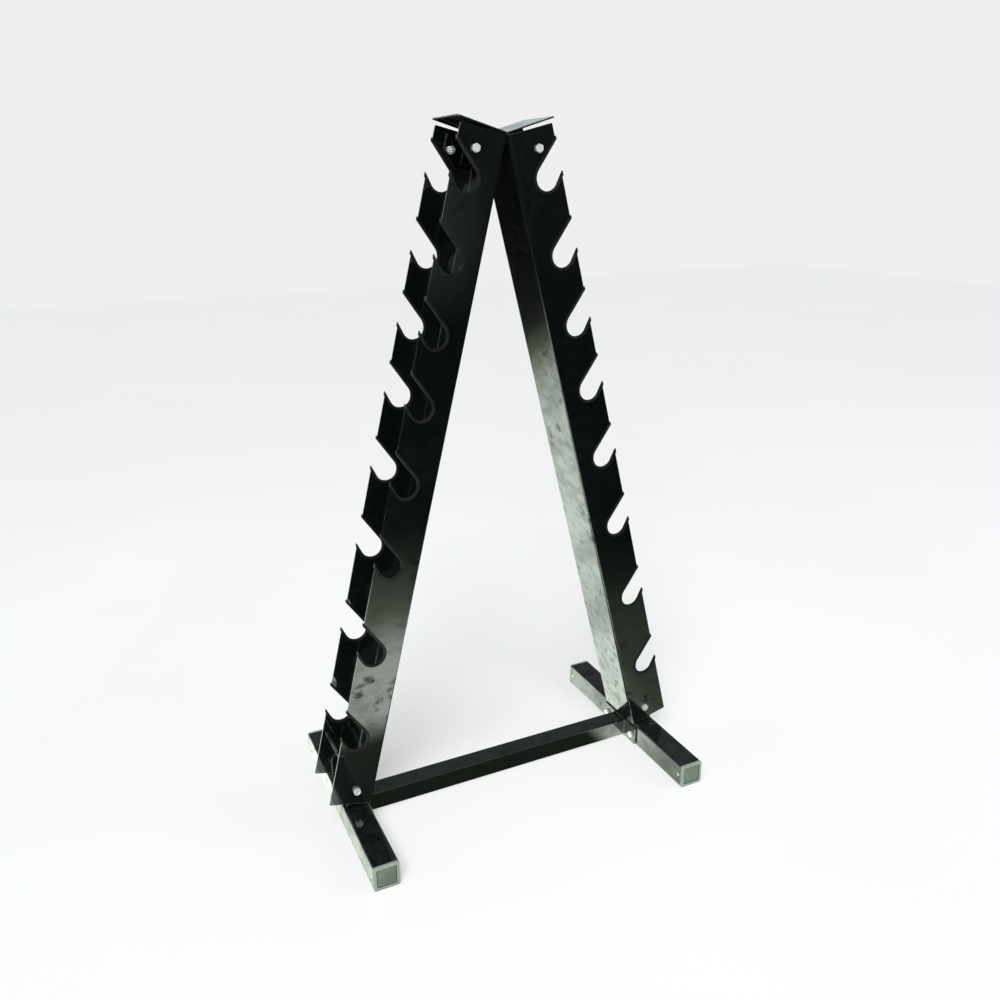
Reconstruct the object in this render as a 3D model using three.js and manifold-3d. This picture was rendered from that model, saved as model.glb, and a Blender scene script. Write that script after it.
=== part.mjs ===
// A-frame dumbbell rack: two notched sheet-steel uprights leaning together on a welded
// and bolted base of square tube. Millimetres, +Z up, the row of feet along X,
// the feet themselves along Y. The origin is the bottom centre of the whole rack.
import * as THREE from 'three';
import { mergeVertices } from 'three/addons/utils/BufferGeometryUtils.js';
import Module from 'manifold-3d';

const wasm = await Module();
wasm.setup();

// ---------------------------------------------------------------- driving dimensions
const GAP = 0.3;                    // free space between two neighbouring pieces
const OVERLAP = 0.5;                // how far two halves of one solid run into each other
const LEAN = THREE.MathUtils.degToRad(14);

const FOOT_TUBE = 50;               // square tube of the feet
const FOOT_WALL = 2.5;
const FOOT_CORNER = 4;
const FOOT_SPACING = 671;           // between the feet's centre lines
const FOOT_LENGTH = 470;            // with both end caps
const CAP_FLANGE = 5;
const CAP_BORDER = 6;
const CAP_INSET = 1.2;
const CAP_PLUG = 18;
const CAP_PLUG_WALL = 3;
const CAP_EDGE = 1.5;               // bevel round the cap's face
const CAP_PANEL_CORNER = 2;

const CROSS_TUBE = 40;
const CROSS_WALL = 2;
const CROSS_CORNER = 3;
const CROSS_BOTTOM = 1;             // the cross tube clears the floor
const END_PLATE = 3;
const END_PLATE_WIDTH = 130;
const END_PLATE_BOLT_Y = 50;
const END_PLATE_HOLE = 9;
const END_PLATE_CORNER = 4;

const SHEET = 2.5;                  // folded sheet of the uprights
const BEND = 4;                     // outer radius of the folds
const DEPTH = 113;                  // over the two flanges
const FLANGE = 86;                  // web face to the flanges' outer edge
const UPRIGHT_LENGTH = 1261;        // along the web, from the flanges' top edge
const TAB_BEND = 5.5;               // outer radius of the fold at the top
const TAB_REACH = 93;               // how far the tab runs out from the web
const TAB_RISE = THREE.MathUtils.degToRad(2.5);

const NOTCH_FIRST = 24;             // corner of the top notch below the flange's top edge
const NOTCH_STEPS = [133, 128, 127, 142, 154, 174, 178];
const POCKET_ALONG = 60;            // pocket's innermost point below the notch's corner
const POCKET_IN = 36;               // pocket's innermost point out from the web face
const POCKET_UPPER = 24;            // radius of the pocket's upper quarter
const POCKET_LOWER = 20.5;          // radius of the pocket's bottom
const ENTRY_ANGLE = THREE.MathUtils.degToRad(48.3);
const LIP_ANGLE = THREE.MathUtils.degToRad(140);
const UPPER_SEGMENTS = 3;
const LOWER_SEGMENTS = 9;

const TRIM_WALL = 1.2;              // rubber edge strip pushed over the notch's edge
const TRIM_BAND = 4.8;
const TRIM_PROUD = 2;               // how far its ends stand past the flange's edge

const M8 = 8;
const M8_HOLE = 9;
const M8_ACROSS = 13;
const M8_HEAD = 5.3;
const M8_NUT = 6.8;
const M8_TAIL = 4;                  // thread showing past the nut
const NUT_BORE = 8.7;
const TOP_BOLT_ALONG = 33;
const TOP_BOLT_OUT = 51.5;
const BASE_BOLT_ALONG = 1231.5;
const BASE_BOLT_OUT = 36.5;
const PROUD_END = 3;                // bolt's end past its nut, right base bolt
const RECESSED_END = 2;             // bolt's end inside its nut, left base bolt
const CORNER_SEGMENTS = 3;
const HOLE_SEGMENTS = 12;
const SHANK_SEGMENTS = 16;

const TIE = 3;                      // straps and plate that tie the uprights at the top
const TIE_TOP = 6;                  // a strap's two edges, below the flange's top edge
const TIE_LOW = 62;
const TIE_OUT = 63;                 // how far a strap's ears reach out from the web
const TIE_BEND = 4;
const TIE_PLATE_Y = 20;             // front face of the plate through both webs
const TIE_PLATE_OUT = 40;
const TIE_PLATE_EDGE = 6;           // the plate is this much narrower than the straps
const SLOT_ROOM = 2;                // slot in the web, longer than the plate by this much
const SADDLE = 4;                   // bracket on each foot
const SADDLE_WIDTH = 40;
const SADDLE_BEND = 6;
const PAST = 20;                    // how far a cutting shape runs past what it cuts

// ---------------------------------------------------------------- derived dimensions
const APEX_X = GAP / 2 + TAB_BEND * (1 - Math.cos(LEAN));
const APEX_Z = FOOT_TUBE + GAP + UPRIGHT_LENGTH * Math.cos(LEAN);
const FLANGE_MID = DEPTH / 2 - SHEET / 2;
const FLANGE_INNER = DEPTH / 2 - SHEET;
const NOTCHES = [NOTCH_FIRST];
for (const step of NOTCH_STEPS) {
  NOTCHES.push(NOTCHES[NOTCHES.length - 1] + step);
}
const SHEET_INSET = TRIM_WALL + GAP;

// ---------------------------------------------------------------- finishes
const paint = new THREE.MeshStandardMaterial({ color: 0x15181a, roughness: 0.28, metalness: 0.3 });
const rubber = new THREE.MeshStandardMaterial({ color: 0x2a2520, roughness: 0.75, metalness: 0 });
const plastic = new THREE.MeshStandardMaterial({ color: 0x26282a, roughness: 0.5, metalness: 0 });
const zinc = new THREE.MeshStandardMaterial({ color: 0xc9cdd0, roughness: 0.3, metalness: 1 });

// ---------------------------------------------------------------- solid helpers
function toSolid(geometry) {
  const bare = geometry.clone();
  bare.deleteAttribute('normal');
  bare.deleteAttribute('uv');
  const merged = mergeVertices(bare, 1e-4);
  return new wasm.Manifold(new wasm.Mesh({
    numProp: 3,
    vertProperties: new Float32Array(merged.attributes.position.array),
    triVerts: new Uint32Array(merged.index.array),
  }));
}

function toGeometry(solid) {
  const mesh = solid.getMesh();
  const geometry = new THREE.BufferGeometry();
  geometry.setAttribute('position', new THREE.BufferAttribute(new Float32Array(mesh.vertProperties), 3));
  geometry.setIndex(new THREE.BufferAttribute(new Uint32Array(mesh.triVerts), 1));
  return geometry;
}

function wound(points, clockwise) {
  const flat = points.map(([a, b]) => new THREE.Vector2(a, b));
  return THREE.ShapeUtils.isClockWise(flat) === clockwise ? flat : flat.reverse();
}

// A flat outline given as [a, b] pairs in either direction, with optional holes.
function outline(points, holes = []) {
  const shape = new THREE.Shape(wound(points, false));
  for (const hole of holes) {
    shape.holes.push(new THREE.Path(wound(hole, true)));
  }
  return shape;
}

function extrude(shape, depth) {
  return new THREE.ExtrudeGeometry(shape, { depth, bevelEnabled: false });
}

// Outline in (x, z), thickness along y between the two given faces.
function alongY(shape, yLow, yHigh) {
  const geometry = extrude(shape, yHigh - yLow);
  geometry.rotateX(Math.PI / 2);
  geometry.translate(0, yHigh, 0);
  return geometry;
}

// Outline in (y, z), thickness along x between the two given faces.
function alongX(shape, xLow, xHigh) {
  const geometry = extrude(shape, xHigh - xLow);
  geometry.rotateX(Math.PI / 2);
  geometry.rotateZ(Math.PI / 2);
  geometry.translate(xLow, 0, 0);
  return geometry;
}

function block(xLow, xHigh, yLow, yHigh, zLow, zHigh) {
  const geometry = new THREE.BoxGeometry(xHigh - xLow, yHigh - yLow, zHigh - zLow);
  geometry.translate((xLow + xHigh) / 2, (yLow + yHigh) / 2, (zLow + zHigh) / 2);
  return geometry;
}

// Points of a rectangle with rounded corners, anticlockwise.
function roundedRectangle(aLow, aHigh, bLow, bHigh, radius) {
  const points = [];
  const corners = [
    [aHigh - radius, bHigh - radius, 0],
    [aLow + radius, bHigh - radius, 1],
    [aLow + radius, bLow + radius, 2],
    [aHigh - radius, bLow + radius, 3],
  ];
  for (const [a, b, quarter] of corners) {
    for (let i = 0; i <= CORNER_SEGMENTS; i += 1) {
      const angle = (quarter + i / CORNER_SEGMENTS) * Math.PI / 2;
      points.push([a + radius * Math.cos(angle), b + radius * Math.sin(angle)]);
    }
  }
  return points;
}

function circle(a, b, radius, segments) {
  const points = [];
  for (let i = 0; i < segments; i += 1) {
    const angle = (i + 0.5) * 2 * Math.PI / segments;
    points.push([a + radius * Math.cos(angle), b + radius * Math.sin(angle)]);
  }
  return points;
}

function squareTube(size, wall, corner) {
  const half = size / 2;
  const inner = half - wall;
  const outer = roundedRectangle(-half, half, -half, half, corner);
  const bore = roundedRectangle(-inner, inner, -inner, inner, corner - wall);
  return outline(outer, [bore]);
}

// The same solid on the other side of the rack.
function mirrored(geometry) {
  const copy = geometry.clone();
  copy.scale(-1, 1, 1);
  const index = copy.index.array;
  for (let i = 0; i < index.length; i += 3) {
    const keep = index[i];
    index[i] = index[i + 1];
    index[i + 1] = keep;
  }
  return copy;
}

// ---------------------------------------------------------------- the leaning frame
// An upright is drawn standing: x out from the web's face, z up from the flange's top
// edge. Distances "along" are measured down the upright.
function lean(geometry) {
  geometry.rotateY(-LEAN);
  geometry.translate(APEX_X, 0, APEX_Z);
  return geometry;
}

function leanPoint(along, out) {
  const x = APEX_X + along * Math.sin(LEAN) + out * Math.cos(LEAN);
  const z = APEX_Z - along * Math.cos(LEAN) + out * Math.sin(LEAN);
  return [x, z];
}

// ---------------------------------------------------------------- notch outline
// The visible edge of the notch, moved into the sheet by `inset`. It starts and ends
// `reach` out from the web. Each entry is [along, out].
function notchPath(inset, reach) {
  const path = [];
  const upper = POCKET_UPPER + inset;
  const lower = POCKET_LOWER + inset;
  const upperOut = POCKET_IN + POCKET_UPPER;
  const lowerOut = POCKET_IN + POCKET_LOWER;
  for (let i = 0; i <= UPPER_SEGMENTS; i += 1) {
    const turn = -ENTRY_ANGLE * (1 - i / UPPER_SEGMENTS);
    path.push([POCKET_ALONG + upper * Math.sin(turn), upperOut - upper * Math.cos(turn)]);
  }
  for (let i = 1; i <= LOWER_SEGMENTS; i += 1) {
    const turn = LIP_ANGLE * i / LOWER_SEGMENTS;
    path.push([POCKET_ALONG + lower * Math.sin(turn), lowerOut - lower * Math.cos(turn)]);
  }
  const [entryAlong, entryOut] = path[0];
  const entryRun = (reach - entryOut) / Math.sin(ENTRY_ANGLE);
  path.unshift([entryAlong - entryRun * Math.cos(ENTRY_ANGLE), reach]);
  const [lipAlong, lipOut] = path[path.length - 1];
  const lipRun = (reach - lipOut) / Math.sin(LIP_ANGLE);
  path.push([lipAlong + lipRun * Math.cos(LIP_ANGLE), reach]);
  return path;
}

// ---------------------------------------------------------------- uprights
// Channel lying open towards +x: `half` deep either way from y = 0.
function channelSection(half, face, reach, bend, wall) {
  const steps = CORNER_SEGMENTS;
  const outer = [];
  const inner = [];
  for (let i = 0; i <= steps; i += 1) {
    const angle = i / steps * Math.PI / 2;
    const across = Math.sin(angle);
    const away = Math.cos(angle);
    const centre = face + bend;
    outer.push([centre - bend * across, half - bend + bend * away]);
    inner.push([centre - (bend - wall) * across, half - bend + (bend - wall) * away]);
  }
  const upperOuter = [[reach, half], ...outer];
  const lowerOuter = upperOuter.map(([x, y]) => [x, -y]).reverse();
  const upperInner = [[reach, half - wall], ...inner];
  const lowerInner = upperInner.map(([x, y]) => [x, -y]);
  return [...upperOuter, ...lowerOuter, ...lowerInner, ...upperInner.reverse()];
}

// Room for the tie plate in an upright's web and in the strap behind it.
function tieSlot() {
  const high = -TIE_TOP - TIE_PLATE_EDGE + SLOT_ROOM;
  const low = -TIE_LOW + TIE_PLATE_EDGE - SLOT_ROOM;
  const deep = SHEET + TIE + 2 * GAP + OVERLAP;
  return block(-OVERLAP, deep, TIE_PLATE_Y - GAP, TIE_PLATE_Y + TIE + GAP, low, high);
}

// Web's top, its fold and the tab above the flanges, seen from the front.
function tabSection() {
  const steps = 6;
  const turn = Math.PI / 2 - TAB_RISE;
  const inner = TAB_BEND - SHEET;
  const outside = [[0, -OVERLAP]];
  const inside = [[SHEET, -OVERLAP]];
  for (let i = 0; i <= steps; i += 1) {
    const angle = turn * i / steps;
    outside.push([TAB_BEND - TAB_BEND * Math.cos(angle), TAB_BEND * Math.sin(angle)]);
    inside.push([TAB_BEND - inner * Math.cos(angle), inner * Math.sin(angle)]);
  }
  const [outX, outZ] = outside[outside.length - 1];
  const [inX, inZ] = inside[inside.length - 1];
  const run = TAB_REACH - outX;
  outside.push([outX + run * Math.cos(TAB_RISE), outZ + run * Math.sin(TAB_RISE)]);
  inside.push([inX + run * Math.cos(TAB_RISE), inZ + run * Math.sin(TAB_RISE)]);
  return [...outside, ...inside.reverse()];
}

function makeUpright() {
  const channel = extrude(outline(channelSection(DEPTH / 2, 0, FLANGE, BEND, SHEET)), UPRIGHT_LENGTH);
  channel.translate(0, 0, -UPRIGHT_LENGTH);
  let body = toSolid(channel);
  body = body.add(toSolid(alongY(outline(tabSection()), -DEPTH / 2, DEPTH / 2)));

  const cut = notchPath(SHEET_INSET, FLANGE + PAST);
  for (const start of NOTCHES) {
    const points = cut.map(([along, out]) => [out, -start - along]);
    body = body.subtract(toSolid(alongY(outline(points), -DEPTH, DEPTH)));
  }
  const bolts = [[TOP_BOLT_ALONG, TOP_BOLT_OUT], [BASE_BOLT_ALONG, BASE_BOLT_OUT]];
  for (const [along, out] of bolts) {
    const hole = circle(out, -along, M8_HOLE / 2, HOLE_SEGMENTS);
    body = body.subtract(toSolid(alongY(outline(hole), -DEPTH, DEPTH)));
  }
  body = body.subtract(toSolid(tieSlot()));
  return lean(toGeometry(body));
}

// ---------------------------------------------------------------- edge strips
function signedVolume(position, index) {
  const corner = (i) => new THREE.Vector3().fromArray(position, 3 * i);
  let total = 0;
  for (let i = 0; i < index.length; i += 3) {
    total += corner(index[i]).dot(corner(index[i + 1]).cross(corner(index[i + 2])));
  }
  return total / 6;
}

// Closed tube of equal rings, each ring a list of Vector3 in the same order.
function sweep(rings, section) {
  const count = section.length;
  const position = [];
  for (const ring of rings) {
    for (const point of ring) {
      position.push(point.x, point.y, point.z);
    }
  }
  const index = [];
  for (let r = 0; r + 1 < rings.length; r += 1) {
    for (let i = 0; i < count; i += 1) {
      const next = (i + 1) % count;
      const a = r * count + i;
      const b = r * count + next;
      index.push(a, b, b + count, a, b + count, a + count);
    }
  }
  const last = (rings.length - 1) * count;
  const flat = section.map(([a, b]) => new THREE.Vector2(a, b));
  for (const [i, j, k] of THREE.ShapeUtils.triangulateShape(flat, [])) {
    index.push(k, j, i);
    index.push(last + i, last + j, last + k);
  }
  const geometry = new THREE.BufferGeometry();
  geometry.setAttribute('position', new THREE.Float32BufferAttribute(position, 3));
  geometry.setIndex(signedVolume(position, index) > 0 ? index : index.reverse());
  return geometry;
}

function makeTrim() {
  const side = SHEET / 2 + GAP;
  const skin = side + TRIM_WALL;
  const section = [
    [0, -skin], [TRIM_BAND, -skin], [TRIM_BAND, -side], [TRIM_WALL, -side],
    [TRIM_WALL, side], [TRIM_BAND, side], [TRIM_BAND, skin], [0, skin],
  ];
  const reach = FLANGE + PAST;
  const rings = [];
  const paths = section.map(([inset]) => notchPath(inset, reach));
  for (let i = 0; i < paths[0].length; i += 1) {
    rings.push(section.map(([, y], j) => {
      const [along, out] = paths[j][i];
      return new THREE.Vector3(out, y, -along);
    }));
  }
  const strip = toSolid(sweep(rings, section));
  const room = 10 * PAST;
  const keep = block(0, FLANGE + TRIM_PROUD, -PAST, PAST, -room, room);
  return toGeometry(strip.intersect(toSolid(keep)));
}

// ---------------------------------------------------------------- base
function makeFoot(side) {
  const length = FOOT_LENGTH / 2 - CAP_FLANGE - GAP;
  const tube = alongY(squareTube(FOOT_TUBE, FOOT_WALL, FOOT_CORNER), -length, length);
  tube.translate(side * FOOT_SPACING / 2, 0, FOOT_TUBE / 2);
  let body = toSolid(tube);
  for (const y of [-END_PLATE_BOLT_Y, END_PLATE_BOLT_Y]) {
    const hole = circle(y, CROSS_BOTTOM + CROSS_TUBE / 2, END_PLATE_HOLE / 2, HOLE_SEGMENTS);
    const from = side * (FOOT_SPACING / 2 - FOOT_TUBE / 2 - PAST);
    const to = side * (FOOT_SPACING / 2);
    const drill = alongX(outline(hole), Math.min(from, to), Math.max(from, to));
    body = body.subtract(toSolid(drill));
  }
  return toGeometry(body);
}

function makeCrossTube() {
  const plateOuter = FOOT_SPACING / 2 - FOOT_TUBE / 2 - GAP;
  const centre = CROSS_BOTTOM + CROSS_TUBE / 2;
  const tube = alongX(squareTube(CROSS_TUBE, CROSS_WALL, CROSS_CORNER), -plateOuter, plateOuter);
  tube.translate(0, 0, centre);
  let body = toSolid(tube);
  const half = CROSS_TUBE / 2;
  const window = roundedRectangle(
    -half + CROSS_WALL, half - CROSS_WALL, centre - half + CROSS_WALL, centre + half - CROSS_WALL,
    CROSS_CORNER - CROSS_WALL,
  );
  const holes = [window];
  for (const y of [-END_PLATE_BOLT_Y, END_PLATE_BOLT_Y]) {
    holes.push(circle(y, centre, END_PLATE_HOLE / 2, HOLE_SEGMENTS));
  }
  const edge = END_PLATE_WIDTH / 2;
  const rim = roundedRectangle(-edge, edge, centre - half, centre + half, END_PLATE_CORNER);
  const plate = outline(rim, holes);
  body = body.add(toSolid(alongX(plate, plateOuter - END_PLATE, plateOuter)));
  body = body.add(toSolid(alongX(plate, -plateOuter, -plateOuter + END_PLATE)));
  return toGeometry(body);
}

// Plastic cap: a flange as wide as the tube, an inset panel on its face and a hollow
// plug that grips inside the tube. Drawn for the front end, facing -y.
function makeCap() {
  const half = FOOT_TUBE / 2;
  const face = -FOOT_LENGTH / 2;
  const edge = CAP_EDGE;
  const back = face + CAP_FLANGE;
  const outer = roundedRectangle(-half, half, -half, half, FOOT_CORNER);
  const front = roundedRectangle(
    -half + edge, half - edge, -half + edge, half - edge, FOOT_CORNER - edge,
  );
  let body = toSolid(alongY(outline(outer), face + edge, back));
  const bevel = [
    front.map(([x, z]) => new THREE.Vector3(x, face, z)),
    outer.map(([x, z]) => new THREE.Vector3(x, face + edge, z)),
  ];
  body = body.add(toSolid(sweep(bevel, front)));
  const panel = half - CAP_BORDER;
  const inset = roundedRectangle(-panel, panel, -panel, panel, CAP_PANEL_CORNER);
  body = body.subtract(toSolid(alongY(outline(inset), face - PAST, face + CAP_INSET)));
  const plug = half - FOOT_WALL - GAP;
  const hollow = plug - CAP_PLUG_WALL;
  const wall = outline(
    roundedRectangle(-plug, plug, -plug, plug, FOOT_CORNER - FOOT_WALL),
    [roundedRectangle(-hollow, hollow, -hollow, hollow, CAP_PANEL_CORNER)],
  );
  body = body.add(toSolid(alongY(wall, back - OVERLAP, back + CAP_PLUG)));
  return toGeometry(body);
}

// Bent bracket on top of a foot; its ears stand inside the upright's flanges.
function makeSaddle() {
  const ear = FLANGE_INNER - GAP;
  const [boltX, boltZ] = leanPoint(BASE_BOLT_ALONG, BASE_BOLT_OUT);
  const low = FOOT_TUBE + GAP;
  const top = boltZ + SADDLE_WIDTH / 2;
  const within = ear - SADDLE;
  const outer = roundedRectangle(-ear, ear, low, top + PAST, SADDLE_BEND);
  const inner = roundedRectangle(-within, within, low + SADDLE, top + 2 * PAST, SADDLE_BEND - SADDLE);
  const left = boltX - SADDLE_WIDTH / 2;
  const right = boltX + SADDLE_WIDTH / 2;
  let body = toSolid(alongX(outline(outer), left, right));
  body = body.subtract(toSolid(alongX(outline(inner), left - OVERLAP, right + OVERLAP)));
  const arcSteps = 8;
  const side = [[left, low - PAST], [right, low - PAST]];
  for (let i = 0; i <= arcSteps; i += 1) {
    const angle = Math.PI * i / arcSteps;
    const radius = SADDLE_WIDTH / 2;
    side.push([boltX + radius * Math.cos(angle), boltZ + radius * Math.sin(angle)]);
  }
  body = body.intersect(toSolid(alongY(outline(side), -DEPTH, DEPTH)));
  const hole = circle(boltX, boltZ, M8_HOLE / 2, HOLE_SEGMENTS);
  body = body.subtract(toSolid(alongY(outline(hole), -DEPTH, DEPTH)));
  return toGeometry(body);
}

// ---------------------------------------------------------------- top joint
// Bent strap inside an upright's top; the top bolts go through its two ears.
function makeStrap() {
  const face = SHEET + GAP;
  const ear = FLANGE_INNER - GAP;
  const section = channelSection(ear, face, TIE_OUT, TIE_BEND, TIE);
  const channel = extrude(outline(section), TIE_LOW - TIE_TOP);
  channel.translate(0, 0, -TIE_LOW);
  // The ears' lower corner is cut off beside the top notch and its edge strip.
  const clear = (TRIM_BAND + TRIM_PROUD) / Math.sin(ENTRY_ANGLE);
  const [entry] = notchPath(SHEET_INSET, TIE_OUT);
  const cutFrom = NOTCH_FIRST + entry[0] - clear;
  const lowOut = TIE_OUT - (TIE_LOW - cutFrom) * Math.tan(ENTRY_ANGLE);
  const side = [
    [0, 0], [TIE_OUT + PAST, 0], [TIE_OUT + PAST, -cutFrom], [TIE_OUT, -cutFrom],
    [lowOut, -TIE_LOW], [lowOut, -TIE_LOW - PAST], [0, -TIE_LOW - PAST],
  ];
  let body = toSolid(channel).intersect(toSolid(alongY(outline(side), -DEPTH, DEPTH)));
  const hole = circle(TOP_BOLT_OUT, -TOP_BOLT_ALONG, M8_HOLE / 2, HOLE_SEGMENTS);
  body = body.subtract(toSolid(alongY(outline(hole), -DEPTH, DEPTH)));
  body = body.subtract(toSolid(tieSlot()));
  return lean(toGeometry(body));
}

// Plate that passes through both webs and both straps and is welded to the straps.
function makeTiePlate() {
  const high = TIE_TOP + TIE_PLATE_EDGE;
  const low = TIE_LOW - TIE_PLATE_EDGE;
  const half = [leanPoint(high, TIE_PLATE_OUT), leanPoint(low, TIE_PLATE_OUT)];
  const points = [[0, leanPoint(high, 0)[1]], ...half, [0, leanPoint(low, 0)[1]]];
  for (const [x, z] of [...half].reverse()) {
    points.push([-x, z]);
  }
  return alongY(outline(points), TIE_PLATE_Y, TIE_PLATE_Y + TIE);
}

// ---------------------------------------------------------------- fasteners
// Hexagon bolt pointing along +y: the head's bearing face lies at y = 0.
function makeBolt(length) {
  const radius = M8_ACROSS / Math.sqrt(3);
  let body = toSolid(alongY(outline(circle(0, 0, radius, 6)), -M8_HEAD, 0));
  body = body.add(toSolid(alongY(outline(circle(0, 0, M8 / 2, SHANK_SEGMENTS)), -OVERLAP, length)));
  return toGeometry(body);
}

// Hexagon nut on the same line: its bearing face lies at y = 0, its body behind it.
function makeNut() {
  const radius = M8_ACROSS / Math.sqrt(3);
  const bore = circle(0, 0, NUT_BORE / 2, SHANK_SEGMENTS);
  return toGeometry(toSolid(alongY(outline(circle(0, 0, radius, 6), [bore]), 0, M8_NUT)));
}

// ---------------------------------------------------------------- assembly
const rack = new THREE.Group();
rack.name = 'dumbbell_rack';

function add(name, geometry, material) {
  const own = geometry.clone();
  own.computeVertexNormals();
  const mesh = new THREE.Mesh(own, material);
  mesh.name = name;
  rack.add(mesh);
}

function placed(geometry, x, y, z, facing = 1) {
  const copy = geometry.clone();
  if (facing < 0) {
    copy.rotateZ(Math.PI);
  }
  copy.translate(x, y, z);
  return copy;
}

const SIDES = [['left', -1], ['right', 1]];
const ENDS = [['front', -1], ['rear', 1]];

const upright = makeUpright();
const saddle = makeSaddle();
const cap = makeCap();
const trim = makeTrim();
const strap = makeStrap();
const shortBolt = makeBolt(SHEET + TIE + M8_NUT + 3 * GAP + M8_TAIL);
const throughLength = DEPTH + 2 * GAP + M8_NUT;
const nut = makeNut();

for (const [side, sign] of SIDES) {
  const onSide = (geometry) => (sign > 0 ? geometry : mirrored(geometry));
  add(`${side}_upright`, onSide(upright), paint);
  add(`${side}_base_bracket`, onSide(saddle), paint);
  add(`${side}_top_strap`, onSide(strap), paint);
  add(`${side}_foot`, makeFoot(sign), paint);
  for (const [end, facing] of ENDS) {
    const x = sign * FOOT_SPACING / 2;
    add(`${side}_${end}_end_cap`, placed(cap, x, 0, FOOT_TUBE / 2, -facing), plastic);
  }
}
add('cross_tube', makeCrossTube(), paint);

add('top_tie_plate', toGeometry(toSolid(makeTiePlate())), paint);

for (const [side, sign] of SIDES) {
  const onSide = (geometry) => (sign > 0 ? geometry : mirrored(geometry));
  for (const [end, facing] of ENDS) {
    NOTCHES.forEach((start, i) => {
      const strip = trim.clone();
      strip.translate(0, facing * FLANGE_MID, -start);
      add(`${side}_${end}_edge_strip_${i + 1}`, onSide(lean(strip)), rubber);
    });
    const [x, z] = leanPoint(TOP_BOLT_ALONG, TOP_BOLT_OUT);
    const seat = facing * (DEPTH / 2 + GAP);
    const nutSeat = facing * (FLANGE_INNER - 2 * GAP - TIE);
    add(`${side}_${end}_top_bolt`, placed(shortBolt, sign * x, seat, z, -facing), zinc);
    add(`${side}_${end}_top_nut`, placed(nut, sign * x, nutSeat, z, -facing), zinc);
  }
  // The left base bolt is fitted from behind, so its nut shows in front.
  const headSide = sign > 0 ? -1 : 1;
  const recess = sign > 0 ? -PROUD_END : RECESSED_END;
  const [x, z] = leanPoint(BASE_BOLT_ALONG, BASE_BOLT_OUT);
  const bolt = makeBolt(throughLength + GAP - recess);
  const seat = DEPTH / 2 + GAP;
  add(`${side}_base_bolt`, placed(bolt, sign * x, headSide * seat, z, -headSide), zinc);
  add(`${side}_base_nut`, placed(nut, sign * x, -headSide * seat, z, -headSide), zinc);
}

export default rack;
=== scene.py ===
# %% [markdown]
# # An A-frame dumbbell rack
# The rack is two folded and notched sheet-steel uprights that lean on each other over
# a low base of square tube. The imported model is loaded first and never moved: it says
# where each piece is. Every piece below is a finer drawing of one of its nodes, with
# rounded edges and a finish of its own, made in the same place.

# %% Load the frame
import math

import bmesh
import bpy
from mathutils import Matrix, Vector, geometry


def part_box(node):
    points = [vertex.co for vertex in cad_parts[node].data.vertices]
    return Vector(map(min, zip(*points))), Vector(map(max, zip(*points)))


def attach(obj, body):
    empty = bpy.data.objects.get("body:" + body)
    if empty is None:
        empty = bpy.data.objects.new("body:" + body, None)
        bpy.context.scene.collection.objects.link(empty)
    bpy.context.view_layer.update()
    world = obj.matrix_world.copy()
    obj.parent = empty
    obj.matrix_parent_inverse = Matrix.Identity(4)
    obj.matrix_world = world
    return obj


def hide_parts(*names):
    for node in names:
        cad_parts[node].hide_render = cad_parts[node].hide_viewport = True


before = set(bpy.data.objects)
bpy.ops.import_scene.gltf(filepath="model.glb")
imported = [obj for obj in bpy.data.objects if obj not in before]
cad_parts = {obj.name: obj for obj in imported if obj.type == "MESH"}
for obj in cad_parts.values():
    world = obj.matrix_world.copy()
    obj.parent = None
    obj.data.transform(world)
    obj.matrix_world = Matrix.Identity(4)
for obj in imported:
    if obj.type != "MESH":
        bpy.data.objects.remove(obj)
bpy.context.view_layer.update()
print("nodes in the frame:", len(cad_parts))

# %% [markdown]
# ## Shader sums as plain Python
# A finish is a web of nodes, and most of them are small sums on one number. Wrapping a
# socket in a class that knows +, - and * lets a mask be written as a line of arithmetic,
# and Blender's Math nodes are added behind it. Colours are mixed by a node of their own,
# because a Math node would turn a colour grey.

# %% A socket that can be reckoned with, and a finish that grows nodes


class Signal:
    """A node's output, used in sums like a number."""

    def __init__(self, finish, socket):
        self.finish = finish
        self.socket = socket

    def sum(self, operation, first, second=0.0, clip=False):
        settings = {"operation": operation, "use_clamp": clip}
        return self.finish.node("ShaderNodeMath", settings, {0: first, 1: second})

    def __add__(self, other):
        return self.sum("ADD", self, other)

    def __radd__(self, other):
        return self.sum("ADD", other, self)

    def __sub__(self, other):
        return self.sum("SUBTRACT", self, other)

    def __rsub__(self, other):
        return self.sum("SUBTRACT", other, self)

    def __mul__(self, other):
        return self.sum("MULTIPLY", self, other)

    def __rmul__(self, other):
        return self.sum("MULTIPLY", other, self)

    def clipped(self):
        return self.sum("ADD", self, 0.0, clip=True)


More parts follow.
